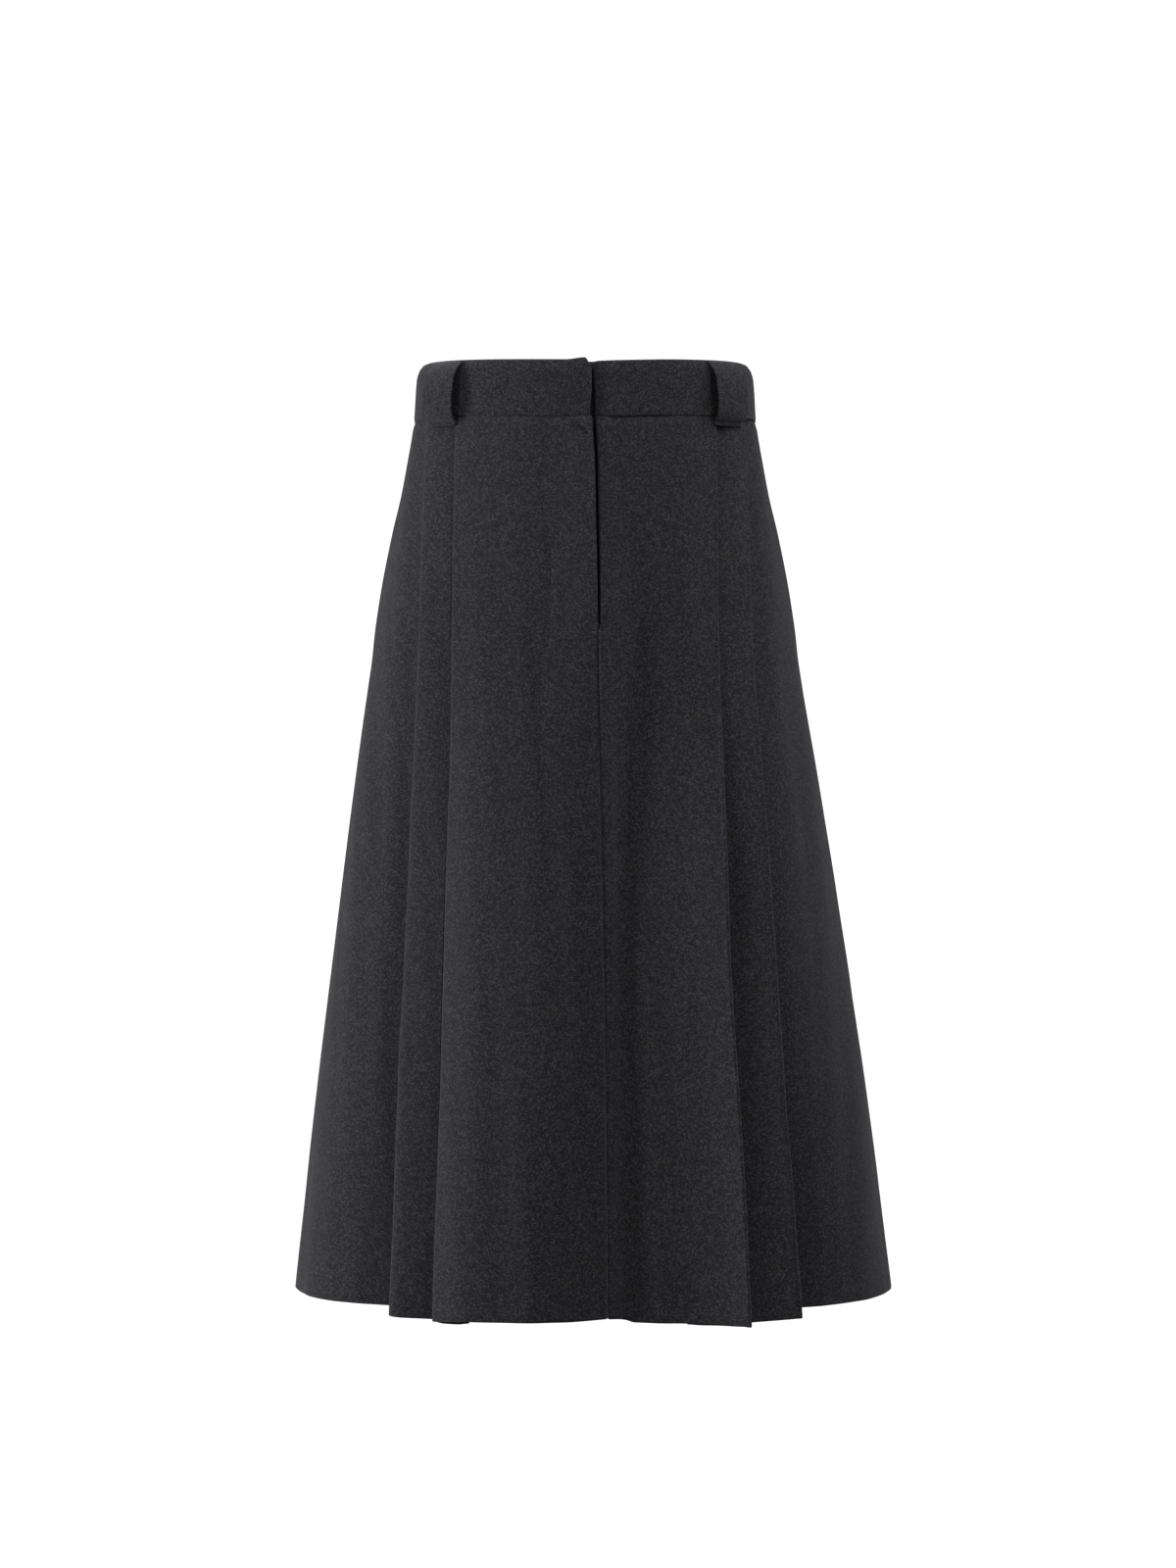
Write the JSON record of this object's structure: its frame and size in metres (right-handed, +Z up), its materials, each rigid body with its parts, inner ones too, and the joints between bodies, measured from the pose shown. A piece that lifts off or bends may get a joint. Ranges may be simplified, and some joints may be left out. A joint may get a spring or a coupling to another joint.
{
  "type": "pleated midi skirt",
  "caption": "Hollow worn-form A-line midi skirt in wool, with a lapped fly, knife pleats stitched down to the hip, side-seam pockets and wide belt loops.",
  "frame": {"origin": "centre of the waist at half the waistband's height, where the wearer's waist holds the skirt", "axes": "+Z up along the body, -Y out of the front, +X to the right of someone who looks at the front"},
  "size_m": [0.4795, 0.3758, 0.7458],
  "materials": {
    "wool_cloth": "charcoal melange wool flannel, matt, with a short soft nap",
    "pocketing": "dark plain-woven pocketing, matt"
  },
  "bodies": {
    "root": {"waistband_front_left": "wool_cloth", "waistband_front_right": "wool_cloth", "waistband_back": "wool_cloth", "front_left": "wool_cloth", "front_right": "wool_cloth", "back_left": "wool_cloth", "back_right": "wool_cloth", "belt_loop_front_left": "wool_cloth", "belt_loop_front_right": "wool_cloth", "belt_loop_back_left": "wool_cloth", "belt_loop_back_right": "wool_cloth", "pocket_bag_left": "pocketing", "pocket_bag_right": "pocketing"}
  },
  "joints": []
}
